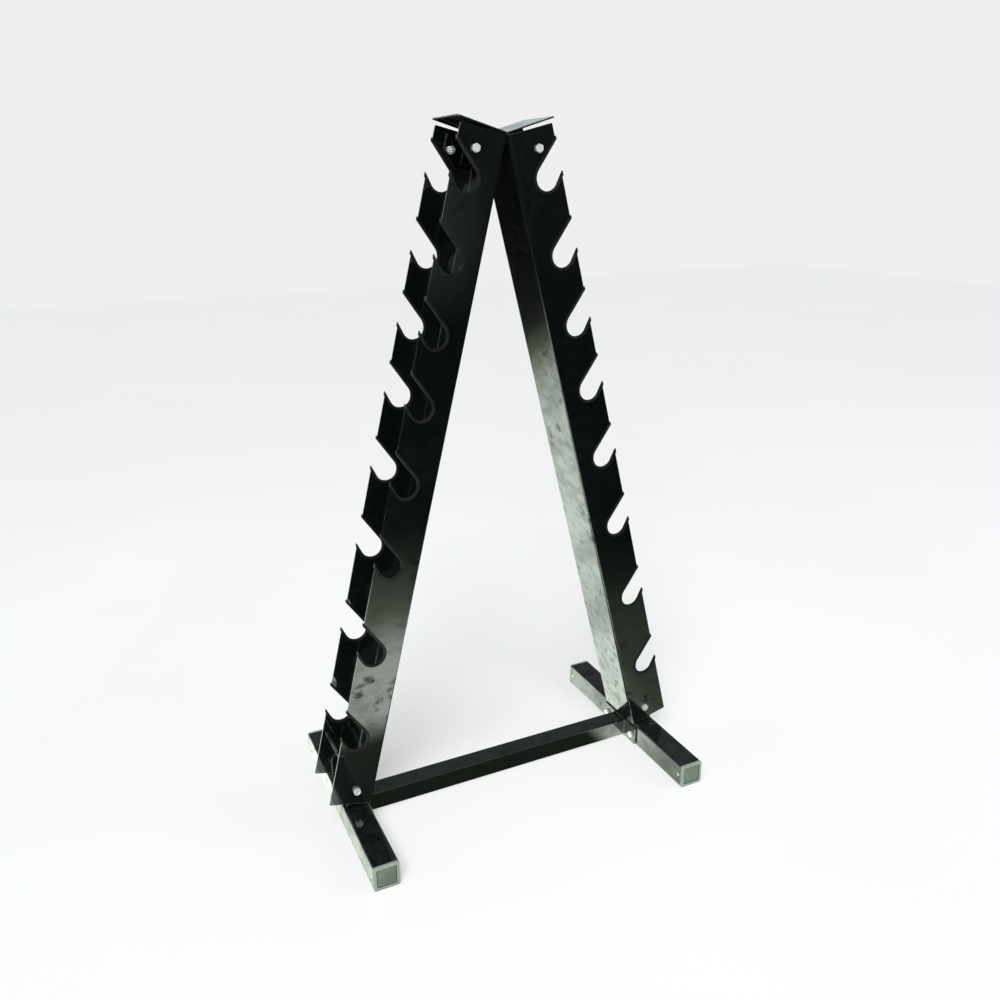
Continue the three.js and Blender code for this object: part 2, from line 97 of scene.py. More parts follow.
class Finish:
    """A material, its shader and one way to add any node to it."""

    def __init__(self, name, **constants):
        self.material = bpy.data.materials.new(name)
        self.material.use_nodes = True
        self.tree = self.material.node_tree
        self.shader = self.tree.nodes["Principled BSDF"]
        for socket, value in constants.items():
            self.feed(self.shader.inputs[socket.replace("_", " ")], value)

    def feed(self, socket, value):
        if isinstance(value, Signal):
            self.tree.links.new(value.socket, socket)
        else:
            socket.default_value = value

    def node(self, kind, settings=None, sockets=None, output=0):
        made = self.tree.nodes.new(kind)
        for name, value in (settings or {}).items():
            if name == "stops":
                stops = made.color_ramp.elements
                while len(stops) < len(value):
                    stops.new(0.5)
                for stop, (place, shade) in zip(stops, value):
                    stop.position = place
                    stop.color = (shade, shade, shade, 1)
            else:
                setattr(made, name, value)
        for name, value in (sockets or {}).items():
            self.feed(made.inputs[name], value)
        return Signal(self, made.outputs[output])

    def place(self):
        return self.node("ShaderNodeTexCoord", output="Object")

    def cloud(self, scale, detail=2.0, stretch=(1, 1, 1), shift=0.0):
        spot = self.node("ShaderNodeMapping", None, {
            "Vector": self.place(), "Scale": stretch, "Location": (shift, shift, shift)})
        return self.node("ShaderNodeTexNoise", None, {
            "Vector": spot, "Scale": scale, "Detail": detail})

    def step(self, signal, low, high):
        """0 below low, 1 above high and a soft ramp between."""
        settings = {"interpolation_type": "SMOOTHSTEP"}
        return self.node("ShaderNodeMapRange", settings, {
            "Value": signal, "From Min": low, "From Max": high})

    def mixed(self, mask, below, above):
        """One colour where the mask is 0 and the other where it is 1."""
        return self.node("ShaderNodeMix", {"data_type": "RGBA"}, {
            0: mask, 6: below, 7: above}, output=2)

    def bump(self, height, depth, strength=1.0, under=None):
        sockets = {"Height": height, "Distance": depth, "Strength": strength}
        if under is not None:
            sockets["Normal"] = under
        return self.node("ShaderNodeBump", None, sockets)

    def split(self, vector, axis):
        return self.node("ShaderNodeSeparateXYZ", None, {"Vector": vector}, output=axis)

    def edges(self, radius):
        """Near 1 within the radius of a sharp edge and 0 on flat or gently curved faces."""
        soft = self.node("ShaderNodeBevel", {"samples": 6}, {"Radius": radius})
        flat = self.node("ShaderNodeNewGeometry", output="Normal")
        match = self.node("ShaderNodeVectorMath", {"operation": "DOT_PRODUCT"}, {
            0: soft, 1: flat}, output="Value")
        return self.step(1 - match, 0.02, 0.16)

    def coat(self, **signals):
        for socket, signal in signals.items():
            self.feed(self.shader.inputs[socket.replace("_", " ")], signal)


print("sums ready")

# %% [markdown]
# ## Gloss black paint
# The steel is sprayed black and baked, which leaves a deep shine with a faint green cast.
# Three things keep it from looking like plastic. The film has orange peel, a very shallow
# waviness that makes a reflection wander. Hands and drying water leave cloudy patches, so
# the clear top of the film is weaker there. Along sharp edges the film is thin, and near
# the floor it is chipped down to pale primer. The clear coat's index is set well above
# real lacquer's, which is about 1.5, so that the shine is stronger than real paint's.

# %% The paint
paint = Finish("gloss_black_paint", IOR=1.45, Specular_IOR_Level=0.12,
               Coat_Roughness=0.03, Coat_IOR=2.1)

peel = paint.cloud(420, 1.0)
sag = paint.cloud(26, 2.0)
ripple = paint.bump(sag, 0.0012, 0.32)
skin = paint.bump(peel, 0.00012, 0.35, under=ripple)

blotch = paint.cloud(34, 5.0, stretch=(1, 1, 1.7))
smear = paint.cloud(11, 3.0, stretch=(1, 1, 0.6), shift=3.0)
patches = paint.step(blotch * 0.55 + smear * 0.45, 0.42, 0.66)
smudges = paint.step(paint.cloud(44, 1.6, stretch=(1, 1, 1.5), shift=11.0), 0.55, 0.72)
smudges = smudges * paint.step(paint.cloud(7, 1.0, shift=2.0), 0.40, 0.60)
fine = paint.cloud(900, 2.0)
specks = paint.step(paint.cloud(520, 3.0, shift=7.0), 0.68, 0.74)

height = paint.split(paint.place(), "Z")
low_down = 1 - paint.step(height, 0.04, 0.16)
worn_edge = paint.edges(0.0011)
chip_cloud = paint.cloud(160, 4.0, shift=5.0)
chips = worn_edge * paint.step(chip_cloud + low_down * 0.24, 0.61, 0.69)

upward = paint.split(paint.node("ShaderNodeNewGeometry", output="Normal"), "Z")
dust = paint.step(upward, 0.55, 0.98) * paint.step(paint.cloud(70, 6.0), 0.42, 0.72) * 0.03
film = (specks * 0.035 + dust + patches * 0.004).clipped()

tint = paint.mixed(smear, (0.0012, 0.0022, 0.0021, 1), (0.0021, 0.0044, 0.0042, 1))
dusty = paint.mixed(film, tint, (0.26, 0.29, 0.27, 1))
thin = paint.mixed(worn_edge * 0.35, dusty, (0.022, 0.030, 0.026, 1))
chipped = paint.mixed(chips, thin, (0.52, 0.54, 0.50, 1))
paint.coat(
    Base_Color=chipped,
    Roughness=0.30 + patches * 0.12 + fine * 0.08 + chips * 0.2,
    Coat_Weight=(1.0 - patches * 0.34 - smudges * 0.6 - chips * 0.8 - film * 0.6).clipped(),
    Normal=skin,
)
print("paint nodes:", len(paint.tree.nodes))

# %% [markdown]
# ## Rubber edging
# A soft channel of dark brown rubber is pressed over the edge of every notch, so that
# the handles don't scrape the paint. Rubber is dull, bleaches where it is rubbed, and
# picks up grey dust in its pores, so the colour moves between two browns.

# %% The rubber
rubber = Finish("brown_edge_rubber", IOR=1.5, Specular_IOR_Level=0.28)
pores = rubber.cloud(1400, 3.0)
bloom = rubber.cloud(60, 4.0)
rubbed = rubber.edges(0.0009)
bleached = rubber.step(bloom, 0.35, 0.70)
brown = rubber.mixed(bleached, (0.0040, 0.0038, 0.0032, 1), (0.0110, 0.0098, 0.0078, 1))
worn = rubber.mixed(rubbed * (0.30 + bleached * 0.7), brown, (0.300, 0.285, 0.240, 1))
rubber.coat(
    Base_Color=worn,
    Roughness=0.46 + pores * 0.16 - rubbed * 0.08,
    Normal=rubber.bump(pores, 0.00015, 0.5),
)
print("rubber nodes:", len(rubber.tree.nodes))

# %% [markdown]
# ## Moulded cap plastic
# The tube ends are closed by grey moulded caps. The mould was spark-eroded, which leaves
# a fine satin grain. The rounded rim is painted lighter, as a highlight, and random scuffs
# lighten the grey where the rack is dragged about. Creases and hollows are painted darker,
# as shade.

# %% The cap plastic
plastic = Finish("grey_cap_plastic", IOR=1.46, Specular_IOR_Level=0.5)
grain = plastic.cloud(1900, 2.0)
scuff = plastic.cloud(240, 5.0, stretch=(1, 1, 0.35))
cloudy = plastic.cloud(38, 3.0)
# The rounded rim is painted lighter along its edge, as a highlight.
rim_highlight = plastic.edges(0.0022)
# Creases and hollows are painted darker from ambient occlusion, as shade.
hollow = 1 - plastic.node("ShaderNodeAmbientOcclusion", {"samples": 8}, {
    "Distance": 0.005}, output="AO")
scuffed = plastic.step(scuff, 0.56, 0.72)
sunk = plastic.node("ShaderNodeAttribute", {"attribute_name": "sunk"}, output="Fac")
proud = plastic.mixed(cloudy, (0.200, 0.250, 0.205, 1), (0.310, 0.370, 0.310, 1))
panel = plastic.mixed(cloudy, (0.095, 0.122, 0.090, 1), (0.165, 0.200, 0.155, 1))
grey = plastic.mixed(sunk, proud, panel)
# The grey is lightened by the painted rim highlight and by real scuffs.
highlight_and_scuff_grey = plastic.mixed((rim_highlight * 0.75 + scuffed * 0.22).clipped(), grey,
                            (0.58, 0.65, 0.60, 1))
# The grey is then darkened in creases and hollows by painted shade.
crevice_shaded_grey = plastic.mixed(plastic.step(hollow, 0.06, 0.42), highlight_and_scuff_grey,
                      (0.030, 0.038, 0.032, 1))
plastic.coat(
    Base_Color=crevice_shaded_grey,
    Roughness=0.38 + grain * 0.14 + scuffed * 0.16,
    Normal=plastic.bump(grain, 0.00009, 0.6),
)
print("plastic nodes:", len(plastic.tree.nodes))

# %% [markdown]
# ## Zinc-plated fasteners
# Bolts, nuts and rivets are bright zinc. Plating is a thin grainy metal skin: shiny on
# the flats, a little duller and warmer in the hollows, and scratched by the spanner.

# %% The zinc
zinc = Finish("bright_zinc", Metallic=0.6, IOR=2.0)
crystal = zinc.cloud(760, 3.0)
tarnish = zinc.step(zinc.cloud(190, 3.0), 0.48, 0.72)
spanner = zinc.edges(0.0006)
silver = zinc.mixed(tarnish, (0.93, 0.95, 0.93, 1), (0.66, 0.66, 0.60, 1))
zinc.coat(
    Base_Color=zinc.mixed(spanner * 0.5, silver, (0.95, 0.96, 0.95, 1)),
    Roughness=0.34 + crystal * 0.16 + tarnish * 0.12,
    Normal=zinc.bump(crystal, 0.00008, 0.5),
)
print("zinc nodes:", len(zinc.tree.nodes))

# %% [markdown]
# ## Turning a drawing into a finished piece
# Every piece goes through the same three steps. A surface is drawn in millimetres, it is
# given the sheet's thickness, and then its sharp edges are rounded a little, because no
# real edge is perfectly sharp and the thin line of light along it is what makes metal
# look like metal. The last line of the recipe fixes the piece to the frame.

# %% Helpers for pieces
MM = 0.001
ROOT = "root"


def placed(name, data):
    """An object in the scene, made of a mesh, a light or a camera."""
    thing = bpy.data.objects.new(name, data)
    bpy.context.scene.collection.objects.link(thing)
    return thing


def mesh_of(name, form):
    mesh = bpy.data.meshes.new(name)
    form.to_mesh(mesh)
    form.free()
    return mesh


def solid(name, form, sheet=0.0, edge=0.0, turns=2, crease=40):
    """An object from a bmesh in millimetres, with sheet thickness and rounded edges."""
    bmesh.ops.scale(form, vec=(MM, MM, MM), verts=form.verts)
    mesh = mesh_of(name, form)
    piece = placed(name, mesh)
    if sheet:
        thick = piece.modifiers.new("sheet", "SOLIDIFY")
        thick.thickness = sheet * MM
        thick.offset = -1
        thick.use_even_offset = True
    if edge:
        round_off = piece.modifiers.new("rounded", "BEVEL")
        round_off.width = edge * MM
        round_off.segments = turns
        round_off.limit_method = "ANGLE"
        round_off.angle_limit = math.radians(crease)
    if sheet or edge:
        bpy.context.view_layer.update()
        graph = bpy.context.evaluated_depsgraph_get()
        piece.data = bpy.data.meshes.new_from_object(piece.evaluated_get(graph))
        piece.data.name = name
        piece.modifiers.clear()
        bpy.data.meshes.remove(mesh)
    piece.data.shade_smooth()
    piece.data.set_sharp_from_angle(angle=math.radians(crease + 5))
    level = piece.modifiers.new("flat faces stay flat", "WEIGHTED_NORMAL")
    level.keep_sharp = True
    return piece


def fix(piece, finish, slot, *nodes):
    """Gives a piece its finish, rides it on the frame and hides the nodes it stands for."""
    piece.data.materials.clear()
    piece.data.materials.append(finish.material)
    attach(piece, ROOT)
    if nodes:
        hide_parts(*nodes)
    return piece


def mirrored(form):
    """The same form on the other side of the rack."""
    bmesh.ops.scale(form, vec=(-1, 1, 1), verts=form.verts)
    bmesh.ops.reverse_faces(form, faces=form.faces)
    return form


def middle(node):
    low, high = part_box(node)
    return (low + high) / 2 / MM


def span(node, axis):
    low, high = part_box(node)
    return low[axis] / MM, high[axis] / MM


print("a top nut sits at, mm:", [round(v, 1) for v in middle("right_front_top_nut")])

# %% [markdown]
# ## The leaning lines
# An upright is easiest to think of lying along its own length. "Along" is measured down
# the web from the top of the flanges and "out" is measured from the web towards the
# notches. The frame's boxes say where that leaning line starts.

# %% From upright to rack
LEAN = math.radians(14)
LENGTH = 1261.0
TAB_BEND = 5.5
web_left = span("right_upright", 0)[0]
foot_top = span("right_upright", 2)[0]
rear_face = span("right_upright", 1)[1]
APEX_X = web_left + TAB_BEND * (1 - math.cos(LEAN))
APEX_Z = foot_top + LENGTH * math.cos(LEAN)
HALF_DEPTH = rear_face


def leaned(along, out):
    x = APEX_X + along * math.sin(LEAN) + out * math.cos(LEAN)
    z = APEX_Z - along * math.cos(LEAN) + out * math.sin(LEAN)
    return x, z


def unleaned(x, z):
    dx, dz = x - APEX_X, APEX_Z - z
    return (dx * math.sin(LEAN) + dz * math.cos(LEAN),
            dx * math.cos(LEAN) - dz * math.sin(LEAN))


print("the uprights meet at, mm:", round(APEX_X, 2), round(APEX_Z, 1))

# %% [markdown]
# ## The notch
# Each notch is a hook that a handle rolls into: a sloping way in, a deep round pocket and
# a lip that curls up past upright. It is one line made of two straight runs and two
# arcs, so a function gives that line at any distance inside the sheet. The same function
# then draws both the cut in the steel and the rubber that covers it.

# %% The notch line
FLANGE = 86.0
POCKET_ALONG = 60.0
POCKET_IN = 36.0
UPPER_RADIUS = 24.0
LOWER_RADIUS = 20.5
ENTRY = math.radians(48.3)
LIP = math.radians(140)
NOTCH_STEPS = (24, 133, 128, 127, 142, 154, 174, 178)
NOTCHES = [sum(NOTCH_STEPS[:i + 1]) for i in range(len(NOTCH_STEPS))]


def notch_line(inset, reach, upper_steps=9, lower_steps=27):
    """The notch's edge as (along, out), moved into the sheet by the inset."""
    line = []
    for radius, start, end, steps in (
        (UPPER_RADIUS, -ENTRY, 0.0, upper_steps),
        (LOWER_RADIUS, 0.0, LIP, lower_steps),
    ):
        centre_out = POCKET_IN + radius
        for i in range(steps + 1):
            turn = start + (end - start) * i / steps
            grown = radius + inset
            spot = (POCKET_ALONG + grown * math.sin(turn),
                    centre_out - grown * math.cos(turn))
            if not line or math.dist(spot, line[-1]) > 0.01:
                line.append(spot)
    along, out = line[0]
    run = (reach - out) / math.sin(ENTRY)
    line.insert(0, (along - run * math.cos(ENTRY), reach))
    along, out = line[-1]
    run = (reach - out) / math.sin(LIP)
    line.append((along + run * math.cos(LIP), reach))
    return line


mouth = notch_line(0.0, FLANGE)
print("notches along the upright, mm:", NOTCHES)
print("mouth of a notch, mm:", round(mouth[-1][0] - mouth[0][0], 1))

# %% [markdown]
# ## Plates with holes
# Flanges, tie plates and end plates are all flat outlines with holes. Blender fills such
# an outline with triangles, and the ones that lie flat beside each other are then merged
# into a few large faces, which keeps the mesh light and the shading clean.

# %% Fill an outline
FLAT = math.radians(0.5)


def ring(a, b, radius, count=40):
    return [(a + radius * math.cos(math.tau * i / count),
             b + radius * math.sin(math.tau * i / count)) for i in range(count)]


def add_plate(form, outline, holes, place):
    """Adds a flat face with holes; place turns a flat (a, b) into a point."""
    loops = [outline, *holes]
    flat = [Vector((a, b, 0)) for loop in loops for a, b in loop]
    triangles = geometry.tessellate_polygon([[Vector((a, b, 0)) for a, b in loop]
                                             for loop in loops])
    verts = [form.verts.new(place(p.x, p.y)) for p in flat]
    made = set()
    for corners in triangles:
        area = sum(flat[corners[i - 1]].cross(flat[corners[i]]).z for i in range(3))
        if abs(area) > 1e-6:
            order = corners if area > 0 else corners[::-1]
            made.add(form.faces.new([verts[i] for i in order]))
    inner = [e for e in form.edges if len(e.link_faces) == 2
             and all(f in made for f in e.link_faces)]
    bmesh.ops.dissolve_limit(form, angle_limit=FLAT, edges=inner, verts=[])
    return form


def rounded(low_a, high_a, low_b, high_b, radius, steps=6):
    """A rectangle with rounded corners, anticlockwise."""
    points = []
    for a, b, quarter in (
        (high_a - radius, high_b - radius, 0), (low_a + radius, high_b - radius, 1),
        (low_a + radius, low_b + radius, 2), (high_a - radius, low_b + radius, 3),
    ):
        for i in range(steps + 1):
            angle = (quarter + i / steps) * math.pi / 2
            points.append((a + radius * math.cos(angle), b + radius * math.sin(angle)))
    return points


print("a hole has", len(ring(0, 0, 1.0)), "corners")

# %% [markdown]
# ## The uprights
# On the real rack one sheet, here taken as 2.5 mm thick, is punched with its notches while
# flat, folded into a channel and then folded over at the top to make a resting tab. The
# model follows the same thinking: only the outer skin is drawn, with round folds, and a
# Solidify modifier gives it the sheet's thickness inwards. A small gap is left where the
# tab's fold meets the side folds, as a folded sheet needs there.

# %% Draw an upright's outer skin
SHEET = 2.5
BEND = 4.0
TAB_REACH = 93.0
TAB_RISE = math.radians(2.5)
TAB_CORNER = 3.0
RUBBER_WALL = 1.5
BOLT_HOLE = 9.0
FOLD_STEPS = 6


def flange_outline():
    """The notched flange as (along, out)."""
    corner = 1.5
    outline = [(0, BEND), (0, FLANGE - corner), (corner, FLANGE)]
    for start in NOTCHES:
        for along, out in notch_line(RUBBER_WALL, FLANGE):
            outline.append((start + along, out))
    return outline + [(LENGTH - corner, FLANGE), (LENGTH, FLANGE - corner), (LENGTH, BEND)]


def add_strip(form, rows):
    """Quads between rows of points that all have the same count."""
    grid = [[form.verts.new(p) for p in row] for row in rows]
    for upper, lower in zip(grid, grid[1:]):
        for i in range(len(upper) - 1):
            form.faces.new((upper[i], lower[i], lower[i + 1], upper[i + 1]))


def skin_point(along, out, y):
    x, z = leaned(along, out)
    return x, y, z


def draw_upright():
    form = bmesh.new()
    inner = HALF_DEPTH - BEND
    fold = []
    for i in range(FOLD_STEPS + 1):
        angle = i / FOLD_STEPS * math.pi / 2
        fold.append((BEND * (1 - math.sin(angle)), inner + BEND * math.cos(angle)))
    around = [(out, -y) for out, y in fold] + [(out, y) for out, y in reversed(fold)]
    add_strip(form, [[skin_point(along, out, y) for out, y in around]
                     for along in (0, LENGTH)])
    holes = []
    for node in ("right_front_top_nut", "right_base_nut"):
        centre = middle(node)
        along, out = unleaned(centre.x, centre.z)
        holes.append(ring(along, out, BOLT_HOLE / 2))
    for y in (-HALF_DEPTH, HALF_DEPTH):
        add_plate(form, flange_outline(), holes,
                  lambda along, out, y=y: skin_point(along, out, y))
    draw_tab(form, inner)
    bmesh.ops.remove_doubles(form, verts=form.verts, dist=0.001)
    bmesh.ops.recalc_face_normals(form, faces=form.faces)
    out_way = Vector((math.cos(LEAN), 0, math.sin(LEAN)))
    web = max(form.faces, key=lambda f: abs(f.normal.dot(out_way)) * f.calc_area())
    if web.normal.dot(out_way) > 0:
        bmesh.ops.reverse_faces(form, faces=form.faces)
    return form


def draw_tab(form, inner):
    """The fold over the top and the tab, as wide as the whole channel."""
    turn = math.pi / 2 - TAB_RISE
    steps = 12
    rows = []
    for i in range(steps + 1):
        angle = turn * i / steps
        rows.append((-TAB_BEND * math.sin(angle), TAB_BEND * (1 - math.cos(angle))))
    add_strip(form, [[skin_point(along, out, -inner), skin_point(along, out, inner)]
                     for along, out in rows])
    for low, high in ((-HALF_DEPTH, -inner), (inner, HALF_DEPTH)):
        add_strip(form, [[skin_point(along, out, low), skin_point(along, out, high)]
                         for along, out in rows[1:]])
    end_along, end_out = rows[-1]
    run = TAB_REACH - end_out

    def on_tab(distance, y):
        return skin_point(end_along - distance * math.sin(TAB_RISE),
                          end_out + distance * math.cos(TAB_RISE), y)

    corners = rounded(-run, run, -HALF_DEPTH, HALF_DEPTH, TAB_CORNER, 4)
    outline = [(0, HALF_DEPTH), (0, inner), (0, -inner), (0, -HALF_DEPTH)]
    add_plate(form, outline + corners[-5:] + corners[:5], [], on_tab)


# %% Both uprights
for side in ("right", "left"):
    drawing = draw_upright()
    if side == "left":
        mirrored(drawing)
    upright = solid(f"{side}_folded_upright", drawing, SHEET, 0.35)
    fix(upright, paint, "black_paint", f"{side}_upright")
    print(upright.name, "faces:", len(upright.data.polygons))

# %% [markdown]
# ## Rubber strips on the notches
# The edging is an extruded channel, pushed over the steel and bent round the hook. So it
# is a sweep: one section, with a rounded back and thickened lips that grip the sheet,
# repeated at every point of the notch line. Both ends are cut off square just past the
# edge of the flange.

# %% The strip's section
STRIP_BAND = 4.8
STRIP_HALF = 2.75
STRIP_PROUD = 2.0


def strip_section():
    """Half outside, half inside, as (inset, across), once round."""
    back = 1.25
    outer = []
    for i in range(6):
        angle = i / 5 * math.pi / 2
        outer.append((back - back * math.cos(angle), STRIP_HALF - back
                      + back * math.sin(angle)))
    outer += [(1.9, STRIP_HALF - 0.18), (2.9, STRIP_HALF - 0.40), (3.3, STRIP_HALF - 0.38),
              (3.6, STRIP_HALF - 0.05), (4.1, STRIP_HALF), (4.5, STRIP_HALF - 0.25),
              (STRIP_BAND, STRIP_HALF - 0.75), (STRIP_BAND, 1.45), (4.5, 1.27),
              (3.0, 1.27), (1.3, 1.27)]
    return outer + [(inset, -across) for inset, across in reversed(outer)]


section = strip_section()
print("points round the strip:", len(section))

# %% Sweep a strip round every notch


def draw_strip(start, y):
    form = bmesh.new()
    lines = [notch_line(inset, FLANGE + STRIP_PROUD) for inset, _ in section]
    rings = []
    for i in range(len(lines[0])):
        rings.append([form.verts.new(skin_point(start + line[i][0], line[i][1],
                                                y + across))
                      for line, (_, across) in zip(lines, section)])
    for near, far in zip(rings, rings[1:]):
        for i in range(len(section)):
            form.faces.new((near[i - 1], near[i], far[i], far[i - 1]))
    form.faces.new(rings[0])
    form.faces.new(rings[-1])
    bmesh.ops.recalc_face_normals(form, faces=form.faces)
    return form


for side in ("right", "left"):
    for end in ("front", "rear"):
        for number, start in enumerate(NOTCHES, 1):
            node = f"{side}_{end}_edge_strip_{number}"
            drawing = draw_strip(start, middle(node).y)
            if side == "left":
                mirrored(drawing)
            strip = solid(f"{side}_{end}_notch_rubber_{number}", drawing, 0, 0.25, 1, 50)
            fix(strip, rubber, "edge_rubber", node)
print("strips made:", 4 * len(NOTCHES))

# %% [markdown]
# ## Feet and cross tube
# The base is cut from rolled square tube, whose corners are round outside and inside.
# A tube is drawn as two rounded squares, one in the other, joined along their length
# and closed by a flat ring at each end.

# %% Tubes
FOOT_WALL = 2.5
FOOT_CORNER = 4.0
CROSS_WALL = 2.0
CROSS_CORNER = 3.0
PLATE = 3.0


def draw_tube(outside, bore, start, end, place):
    """A tube along one axis; place puts (a, b, distance) in the rack."""
    form = bmesh.new()
    loops = [[form.verts.new(place(a, b, at)) for a, b in loop]
             for loop in (outside, bore) for at in (start, end)]
    for near, far in ((0, 1), (1, 3), (3, 2), (2, 0)):
        for i in range(len(outside)):
            form.faces.new((loops[near][i - 1], loops[near][i],
                            loops[far][i], loops[far][i - 1]))
    bmesh.ops.recalc_face_normals(form, faces=form.faces)
    return form


for side in ("right", "left"):
    node = f"{side}_foot"
    low_x, high_x = span(node, 0)
    low_z, high_z = span(node, 2)
    low_y, high_y = span(node, 1)
    outside = rounded(low_x, high_x, low_z, high_z, FOOT_CORNER)
    bore = rounded(low_x + FOOT_WALL, high_x - FOOT_WALL, low_z + FOOT_WALL,
                   high_z - FOOT_WALL, FOOT_CORNER - FOOT_WALL)
    foot = solid(f"{side}_floor_tube", draw_tube(
        outside, bore, low_y, high_y, lambda a, b, at: (a, at, b)), 0, 0.25)
    fix(foot, paint, "black_paint", node)
print("foot length, mm:", round(high_y - low_y, 1))

# %% The cross tube and its bolted end plates
CROSS_SIZE = 40.0
END_BOLT_Y = 50.0
END_HOLE = 9.0
low_x, high_x = span("cross_tube", 0)
low_z, high_z = span("cross_tube", 2)
plate_y = span("cross_tube", 1)
half = CROSS_SIZE / 2
cross_z = (low_z + high_z) / 2
outside = rounded(-half, half, low_z, high_z, CROSS_CORNER)
bore = rounded(-half + CROSS_WALL, half - CROSS_WALL, low_z + CROSS_WALL,
               high_z - CROSS_WALL, CROSS_CORNER - CROSS_WALL)
cross = solid("cross_tube_bar", draw_tube(
    outside, bore, low_x + PLATE, high_x - PLATE, lambda a, b, at: (at, a, b)), 0, 0.25)
fix(cross, paint, "black_paint", "cross_tube")

for side, sign in (("right", 1), ("left", -1)):
    form = bmesh.new()
    holes = [ring(y, cross_z, END_HOLE / 2) for y in (-END_BOLT_Y, END_BOLT_Y)]
    inner_face = sign * (high_x - PLATE)
    add_plate(form, rounded(*plate_y, low_z, high_z, 4), holes,
              lambda a, b: (inner_face, a, b))
    if sign > 0:
        bmesh.ops.reverse_faces(form, faces=form.faces)
    plate = solid(f"{side}_end_plate", form, PLATE, 0.5)
    fix(plate, paint, "black_paint")
print("end plates reach from", plate_y[0], "to", plate_y[1], "mm")

# %% [markdown]
# ## Weld beads
# The cross tube is welded to its end plates all the way round. A bead is a row of small
# overlapping puddles, so it is a thin bent sausage whose thickness rises and falls along
# the joint.

# %% Lay a bead round the tube
BEAD = 2.0
BEAD_LIFT = 1.7
RIPPLE_LENGTH = 1.7


def draw_bead(path, lift, across, size=BEAD):
    """A rippled bead along a closed path of points; lift points away from the joint."""
    form = bmesh.new()
    around = 10
    rings = []
    travelled = 0.0
    for i, spot in enumerate(path):
        travelled += (Vector(spot) - Vector(path[i - 1])).length
        puddle = size * (1 + 0.13 * math.cos(math.tau * travelled / RIPPLE_LENGTH)
                         + 0.08 * math.sin(travelled * 0.9))
        rings.append([form.verts.new(
            Vector(spot) + puddle * (math.cos(math.tau * k / around) * Vector(lift[i])
                                     + math.sin(math.tau * k / around) * Vector(across)))
            for k in range(around)])
    for near, far in zip(rings, rings[1:] + rings[:1]):
        for k in range(around):
            form.faces.new((near[k - 1], near[k], far[k], far[k - 1]))
    bmesh.ops.recalc_face_normals(form, faces=form.faces)
    return form


def walked(loop, pace):
    """Points every pace along a closed loop of (a, b)."""
    points = []
    for i, (a, b) in enumerate(loop):
        after_a, after_b = loop[(i + 1) % len(loop)]
        length = math.dist((a, b), (after_a, after_b))
        count = max(1, round(length / pace))
        points += [(a + (after_a - a) * k / count, b + (after_b - b) * k / count)
                   for k in range(count)]
    return points


for side, sign in (("right", 1), ("left", -1)):
    loop = walked(rounded(-half, half, low_z + BEAD_LIFT, high_z, CROSS_CORNER), 0.45)
    at = sign * (high_x - PLATE)
    away = []
    for a, b in loop:
        flat_a = max(-half + CROSS_CORNER, min(half - CROSS_CORNER, a))
        flat_b = max(low_z + CROSS_CORNER, min(high_z - CROSS_CORNER, b))
        away.append(Vector((0, a - flat_a, b - flat_b)).normalized())
    bead = solid(f"{side}_weld_bead", draw_bead(
        [(at, a, b) for a, b in loop], away, (1, 0, 0)), 0, 0, 2, 60)
    fix(bead, paint, "black_paint")
print("points along a bead:", len(loop))

# %% [markdown]
# ## End caps
# A cap is moulded in one piece: a flange as wide as the tube, a sunk panel in its face,
# and a hollow plug behind that grips inside the tube. Nesting rounded squares of
# different sizes at different depths draws all of it, much as turning does for round
# parts, and the close loops near an edge are what makes it look moulded.

# %% Nest the loops of a cap
CAP_LOOPS = (
    (-5.8, 1.4, 7.0), (-5.8, 1.4, 22.4), (-5.4, 1.4, 23.0), (-3.3, 1.5, 23.0),
    (-2.8, 1.5, 22.4), (-2.8, 1.5, 5.3), (-0.3, 3.8, 5.3), (0.0, 4.0, 4.8),
    (0.0, 4.0, 1.7), (-0.12, 3.9, 1.05), (-0.45, 3.7, 0.45), (-1.0, 3.4, 0.1),
    (-1.7, 3.1, 0.0), (-5.4, 2.5, 0.0), (-5.7, 2.4, 0.15), (-5.85, 2.3, 0.6),
    (-6.0, 2.2, 1.8), (-6.2, 2.1, 2.1), (-6.7, 2.0, 2.1), (-7.0, 1.9, 1.7),
    (-7.2, 1.8, 1.0), (-7.6, 1.7, 0.8), (-15.0, 1.6, 0.7), (-20.0, 1.5, 0.65),
)


PANEL_EDGE = -7.0


def draw_cap(node, facing):
    """Loops of (grown, corner, depth) nested from the plug to the panel."""
    low_x, high_x = span(node, 0)
    centre = middle(node)
    size = (high_x - low_x) / 2
    face = facing * max(abs(v) for v in span(node, 1))
    form = bmesh.new()
    sunk = form.verts.layers.float.new("sunk")
    rings = []
    for grown, corner, depth in CAP_LOOPS:
        reach = size + grown
        rings.append([form.verts.new((centre.x + a, face - facing * depth, centre.z + b))
                      for a, b in rounded(-reach, reach, -reach, reach, corner, 5)])
        for vert in rings[-1]:
            vert[sunk] = 1.0 if grown <= PANEL_EDGE else 0.0
    for near, far in zip(rings, rings[1:]):
        for i in range(len(near)):
            form.faces.new((near[i - 1], near[i], far[i], far[i - 1]))
    form.faces.new(rings[0])
    form.faces.new(rings[-1])
    bmesh.ops.recalc_face_normals(form, faces=form.faces)
    return form


ENDS = (("front", -1), ("rear", 1))
SIDES = (("right", 1), ("left", -1))
for side, _ in SIDES:
    for end, facing in ENDS:
        node = f"{side}_{end}_end_cap"
        cap = solid(f"{side}_{end}_moulded_cap", draw_cap(node, facing), crease=50)
        fix(cap, plastic, "cap_plastic", node)
print("cap faces:", len(cap.data.polygons))

# %% [markdown]
# ## Base brackets
# A bent strap stands on each foot. Its two ears lie inside the upright's flanges, and
# one long bolt goes through all four. It is drawn as the upright is: outer skin first,
# thickness afterwards.

# %% Bend a strap
STRAP = 4.0
STRAP_BEND = 6.0


